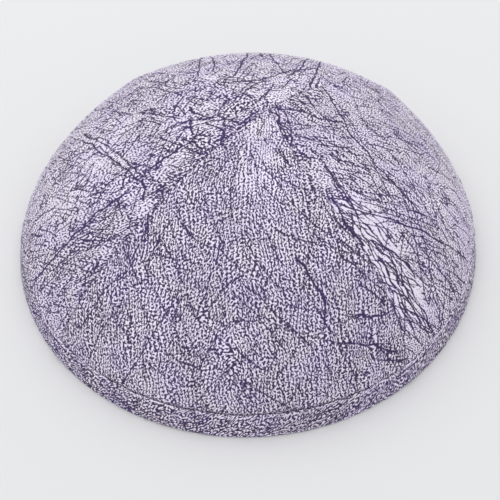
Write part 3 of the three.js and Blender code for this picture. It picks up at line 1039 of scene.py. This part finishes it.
def suede_back(name, look):
    """Napped flesh side of the same leather, dyed through: soft, dull and slightly mottled."""
    material, tree = new_material(name)
    place = add_node(tree, "ShaderNodeTexCoord").outputs["Object"]
    # Tufts of the nap, and mottling from the dye bath.
    nap = add_node(tree, "ShaderNodeTexNoise", Vector=place, Scale=1 / (NAP_SIZE * MM),
                   Detail=3.0, Roughness=0.6).outputs["Fac"]
    mottle = add_node(tree, "ShaderNodeTexNoise", Vector=place, Scale=1 / (MOTTLE_SIZE * MM),
                      Detail=2.0).outputs["Fac"]
    both = add_node(tree, "ShaderNodeMath", {"operation": "ADD"}, in0=nap, in1=mottle).outputs[0]
    shade = add_node(tree, "ShaderNodeMapRange", Value=both, From_Min=0.6, From_Max=1.4,
                     To_Min=0.75, To_Max=1.15).outputs[0]
    colour = add_node(tree, "ShaderNodeVectorMath", {"operation": "SCALE"},
                      in0=tuple(look.back), Scale=shade).outputs[0]
    bump = add_node(tree, "ShaderNodeBump", Strength=0.5, Distance=0.0002, Height=nap).outputs[0]
    shader = add_node(tree, "ShaderNodeBsdfPrincipled", Base_Color=colour, Roughness=0.92,
                      Normal=bump, IOR=1.45, Sheen_Weight=0.5, Sheen_Roughness=0.5)
    add_node(tree, "ShaderNodeOutputMaterial", Surface=shader.outputs[0])
    return material


class SKULLCAP_OT_gores(bpy.types.Operator):
    """Make the four leather gores"""

    bl_idname = "skullcap.gores"
    bl_label = "Gores"

    def execute(self, context):
        look = context.scene.skullcap_leather
        leather = antiqued_leather("two-tone antiqued leather", look)
        suede = suede_back("suede leather back", look)
        for gore, (name, *_) in enumerate(SEAMS):
            piece = make_gore(context, gore, leather, suede)
            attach(piece, "root")
            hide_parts(name)
        return {"FINISHED"}


class SKULLCAP_OT_band(bpy.types.Operator):
    """Make the folded rim band"""

    bl_idname = "skullcap.band"
    bl_label = "Rim band"

    def execute(self, context):
        look = context.scene.skullcap_leather
        leather = antiqued_leather("two-tone antiqued leather, folded", look)
        piece = make_band(context, leather)
        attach(piece, "root")
        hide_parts("rim_band")
        return {"FINISHED"}


class SKULLCAP_OT_stage(bpy.types.Operator):
    """Make the floor, the soft light and the camera"""

    bl_idname = "skullcap.stage"
    bl_label = "Stage"

    def execute(self, context):
        scene = context.scene
        stage = scene.skullcap_stage
        mesh = bpy.data.meshes.new("floor")
        corners = [(-1, -1), (1, -1), (1, 1), (-1, 1)]
        mesh.from_pydata([(x * FLOOR_REACH, y * FLOOR_REACH, FLOOR_LEVEL) for x, y in corners],
                         [], [range(len(corners))])
        floor = bpy.data.objects.new("floor", mesh)
        scene.collection.objects.link(floor)
        material, tree = new_material("matt pale board")
        shader = add_node(tree, "ShaderNodeBsdfPrincipled", Base_Color=(*stage.floor, 1),
                          Roughness=0.85)
        add_node(tree, "ShaderNodeOutputMaterial", Surface=shader.outputs[0])
        mesh.materials.append(material)

        world = bpy.data.worlds.new("even room light")
        world.use_nodes = True
        background = world.node_tree.nodes["Background"]
        background.inputs["Color"].default_value = ROOM_COLOUR
        background.inputs["Strength"].default_value = stage.sky
        scene.world = world
        scene.view_settings.view_transform = "Standard"

        lamp = bpy.data.lights.new("soft light overhead", "AREA")
        lamp.shape = "RECTANGLE"
        lamp.size, lamp.size_y = LIGHT_SIZE
        lamp.energy = stage.key_power
        light = bpy.data.objects.new("soft light overhead", lamp)
        light.location = LIGHT_PLACE
        aim = Vector(LIGHT_AIM) - light.location
        light.rotation_euler = aim.to_track_quat("-Z", "Y").to_euler()
        scene.collection.objects.link(light)

        place, right, up, forward = photo_axes()
        lens = bpy.data.cameras.new("photo camera")
        lens.sensor_width = SENSOR_WIDTH
        lens.lens = FOCAL_PIXELS / PHOTO_SIDE * lens.sensor_width
        camera = bpy.data.objects.new("photo camera", lens)
        turned = Matrix(np.stack([right, up, -forward], 1).tolist()).to_4x4()
        camera.matrix_world = Matrix.Translation(place.tolist()) @ turned
        scene.collection.objects.link(camera)
        scene.camera = camera
        return {"FINISHED"}


class SKULLCAP_PT_panel(bpy.types.Panel):
    """Sizes, colours and pieces of the skullcap"""

    bl_label = "Skullcap"
    bl_idname = "SKULLCAP_PT_panel"
    bl_space_type = "VIEW_3D"
    bl_region_type = "UI"
    bl_category = "Skullcap"

    def draw(self, context):
        for group in (context.scene.skullcap_form, context.scene.skullcap_leather,
                      context.scene.skullcap_stage):
            box = self.layout.box()
            for label in group.bl_rna.properties.keys():
                if label not in ("rna_type", "name"):
                    box.prop(group, label)
        for operator in (SKULLCAP_OT_gores, SKULLCAP_OT_band, SKULLCAP_OT_stage):
            self.layout.operator(operator.bl_idname)


CLASSES = (SkullcapForm, SkullcapLeather, SkullcapStage, SKULLCAP_OT_gores, SKULLCAP_OT_band,
           SKULLCAP_OT_stage, SKULLCAP_PT_panel)


def register():
    for cls in CLASSES:
        bpy.utils.register_class(cls)
    bpy.types.Scene.skullcap_form = bpy.props.PointerProperty(type=SkullcapForm)
    bpy.types.Scene.skullcap_leather = bpy.props.PointerProperty(type=SkullcapLeather)
    bpy.types.Scene.skullcap_stage = bpy.props.PointerProperty(type=SkullcapStage)


def unregister():
    del bpy.types.Scene.skullcap_stage
    del bpy.types.Scene.skullcap_leather
    del bpy.types.Scene.skullcap_form
    for cls in reversed(CLASSES):
        bpy.utils.unregister_class(cls)


def main():
    """Makes every piece and the stage."""
    register()
    bpy.ops.skullcap.gores()
    bpy.ops.skullcap.band()
    bpy.ops.skullcap.stage()


if __name__ == "__main__":
    main()
